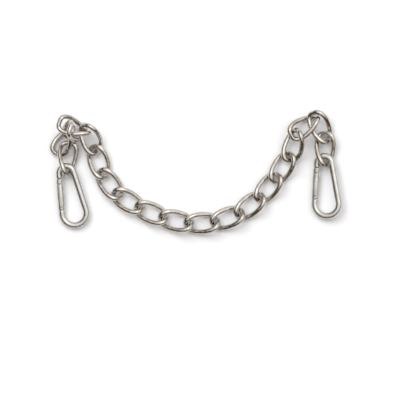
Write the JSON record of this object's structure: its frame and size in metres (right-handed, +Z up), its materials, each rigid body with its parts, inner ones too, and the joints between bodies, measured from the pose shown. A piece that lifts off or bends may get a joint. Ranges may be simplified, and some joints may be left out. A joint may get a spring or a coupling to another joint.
{
  "type": "curb chain",
  "caption": "Curb chain of twisted oval wire links, lying in a curve, with a spring snap hook at each end.",
  "frame": {"origin": "on the surface the chain lies on, under the middle of its bounding box", "axes": "+X from the left hook towards the right hook, +Y from the hooks towards their eyes, +Z up off the surface"},
  "size_m": [0.1766, 0.0752, 0.0244],
  "materials": {
    "plated_steel": "polished nickel plate on steel wire",
    "pin_steel": "nickel-plated rivets and pins",
    "spring_steel": "plain spring steel"
  },
  "bodies": {
    "link_01": {"link_01": "plated_steel"},
    "link_02": {"link_02": "plated_steel"},
    "link_03": {"link_03": "plated_steel"},
    "link_04": {"link_04": "plated_steel"},
    "link_05": {"link_05": "plated_steel"},
    "link_06": {"link_06": "plated_steel"},
    "link_07": {"link_07": "plated_steel"},
    "link_08": {"link_08": "plated_steel"},
    "link_09": {"link_09": "plated_steel"},
    "link_10": {"link_10": "plated_steel"},
    "link_11": {"link_11": "plated_steel"},
    "link_12": {"link_12": "plated_steel"},
    "link_13": {"link_13": "plated_steel"},
    "link_14": {"link_14": "plated_steel"},
    "link_15": {"link_15": "plated_steel"},
    "link_16": {"link_16": "plated_steel"},
    "link_17": {"link_17": "plated_steel"},
    "link_18": {"link_18": "plated_steel"},
    "link_19": {"link_19": "plated_steel"},
    "left_hook": {"left_hook_body": "plated_steel", "left_gate_rivet": "pin_steel"},
    "left_gate": {"left_gate": "plated_steel", "left_latch_pin": "pin_steel", "left_gate_spring": "spring_steel"},
    "left_plunger": {"left_gate_plunger": "spring_steel"},
    "right_hook": {"right_hook_body": "plated_steel", "right_gate_rivet": "pin_steel"},
    "right_gate": {"right_gate": "plated_steel", "right_latch_pin": "pin_steel", "right_gate_spring": "spring_steel"},
    "right_plunger": {"right_gate_plunger": "spring_steel"}
  },
  "joints": [
    {"name": "link_10_to_link_09", "type": "hinge", "parent": "link_10", "child": "link_09", "pos_m": [-0.02144, -0.0273, 0.00393], "axis": [0.1611, 0.698, 0.6977], "range_deg": [-40, 40]},
    {"name": "link_09_to_link_08", "type": "hinge", "parent": "link_09", "child": "link_08", "pos_m": [-0.03285, -0.02239, 0.00393], "axis": [0.369, 0.614, -0.6977], "range_deg": [-40, 40]},
    {"name": "link_08_to_link_07", "type": "hinge", "parent": "link_08", "child": "link_07", "pos_m": [-0.04948, -0.0124, 0.00393], "axis": [-0.369, -0.614, -0.6977], "range_deg": [-40, 26]},
    {"name": "link_07_to_link_06", "type": "hinge", "parent": "link_07", "child": "link_06", "pos_m": [-0.05577, -0.00308, 0.00393], "axis": [-0.6851, -0.2094, 0.6977], "range_deg": [-31, 40]},
    {"name": "link_06_to_link_05", "type": "hinge", "parent": "link_06", "child": "link_05", "pos_m": [-0.06176, 0.01533, 0.00359], "axis": [0.6583, 0.2884, 0.6953], "range_deg": [-25, 40]},
    {"name": "link_05_to_link_04", "type": "hinge", "parent": "link_05", "child": "link_04", "pos_m": [-0.06912, 0.02633, 0.00776], "axis": [0.2377, 0.8626, 0.4466], "range_deg": [-40, 4]},
    {"name": "link_04_to_link_03", "type": "hinge", "parent": "link_04", "child": "link_03", "pos_m": [-0.0726, 0.02295, 0.01375], "axis": [0.9997, 0.0017, -0.0254], "range_deg": [-36, 4]},
    {"name": "link_03_to_link_02", "type": "hinge", "parent": "link_03", "child": "link_02", "pos_m": [-0.07402, 0.02678, 0.0075], "axis": [0.0114, 0.32, -0.9474], "range_deg": [-2, 11]},
    {"name": "link_02_to_link_01", "type": "hinge", "parent": "link_02", "child": "link_01", "pos_m": [-0.07631, 0.01558, 0.00754], "axis": [-0.2838, -0.7673, -0.5751], "range_deg": [-40, 40]},
    {"name": "link_01_to_left_hook", "type": "hinge", "parent": "link_01", "child": "left_hook", "pos_m": [-0.07811, -0.00159, 0.00628], "axis": [-0.1973, 0.0993, 0.9753], "range_deg": [-40, 25]},
    {"name": "link_10_to_link_11", "type": "hinge", "parent": "link_10", "child": "link_11", "pos_m": [-0.00254, -0.03166, 0.00393], "axis": [0.1611, 0.698, -0.6977], "range_deg": [-40, 40]},
    {"name": "link_11_to_link_12", "type": "hinge", "parent": "link_11", "child": "link_12", "pos_m": [0.00991, -0.03101, 0.00393], "axis": [-0.2332, 0.6773, 0.6977], "range_deg": [-40, 40]},
    {"name": "link_12_to_link_13", "type": "hinge", "parent": "link_12", "child": "link_13", "pos_m": [0.02825, -0.0247, 0.00393], "axis": [-0.2332, 0.6773, -0.6977], "range_deg": [-35, 40]},
    {"name": "link_13_to_link_14", "type": "hinge", "parent": "link_13", "child": "link_14", "pos_m": [0.03774, -0.01706, 0.00393], "axis": [-0.5567, 0.4508, 0.6977], "range_deg": [-40, 40]},
    {"name": "link_14_to_link_15", "type": "hinge", "parent": "link_14", "child": "link_15", "pos_m": [0.04995, -0.00199, 0.00393], "axis": [0.5567, -0.4508, 0.6977], "range_deg": [-40, 38]},
    {"name": "link_15_to_link_16", "type": "hinge", "parent": "link_15", "child": "link_16", "pos_m": [0.0575, 0.00696, 0.00292], "axis": [0.9059, -0.0257, -0.4228], "range_deg": [-8, 40]},
    {"name": "link_16_to_link_17", "type": "hinge", "parent": "link_16", "child": "link_17", "pos_m": [0.06385, 0.02049, 0.00798], "axis": [-0.8868, -0.4225, -0.1872], "range_deg": [-40, 2]},
    {"name": "link_17_to_link_18", "type": "hinge", "parent": "link_17", "child": "link_18", "pos_m": [0.07049, 0.02517, 0.00626], "axis": [0.4345, -0.8734, 0.2198], "range_deg": [-8, 40]},
    {"name": "link_18_to_link_19", "type": "hinge", "parent": "link_18", "child": "link_19", "pos_m": [0.07328, 0.01869, 0.00419], "axis": [-0.1429, -0.9046, 0.4015], "range_deg": [-1, 40]},
    {"name": "link_19_to_right_hook", "type": "hinge", "parent": "link_19", "child": "right_hook", "pos_m": [0.07826, 0.00396, 0.00517], "axis": [-0.4657, 0.0309, 0.8844], "range_deg": [-40, 26]},
    {"name": "left_gate_swing", "type": "hinge", "parent": "left_hook", "child": "left_gate", "pos_m": [-0.08229, -0.0063, 0.00448], "axis": [-0.0632, -0.0918, 0.9938], "range_deg": [0, 32], "stiffness_Nm_per_rad": 0.01, "springref_deg": -20.05},
    {"name": "left_plunger_slide", "type": "slide", "parent": "left_gate", "child": "left_plunger", "axis": [0.0756, -0.9933, -0.0869], "range_m": [0, 0.0003]},
    {"name": "right_gate_swing", "type": "hinge", "parent": "right_hook", "child": "right_gate", "pos_m": [0.07311, 0.00039, 0.0036], "axis": [-0.2108, -0.0377, 0.9768], "range_deg": [0, 32], "stiffness_Nm_per_rad": 0.01, "springref_deg": -20.05},
    {"name": "right_plunger_slide", "type": "slide", "parent": "right_gate", "child": "right_plunger", "axis": [-0.0588, -0.997, -0.0512], "range_m": [0, 0.0003]}
  ],
  "couplings": [
    {"joint": "left_plunger_slide", "follows": "left_gate_swing", "m_per_rad": 0.0005},
    {"joint": "right_plunger_slide", "follows": "right_gate_swing", "m_per_rad": 0.0005}
  ]
}
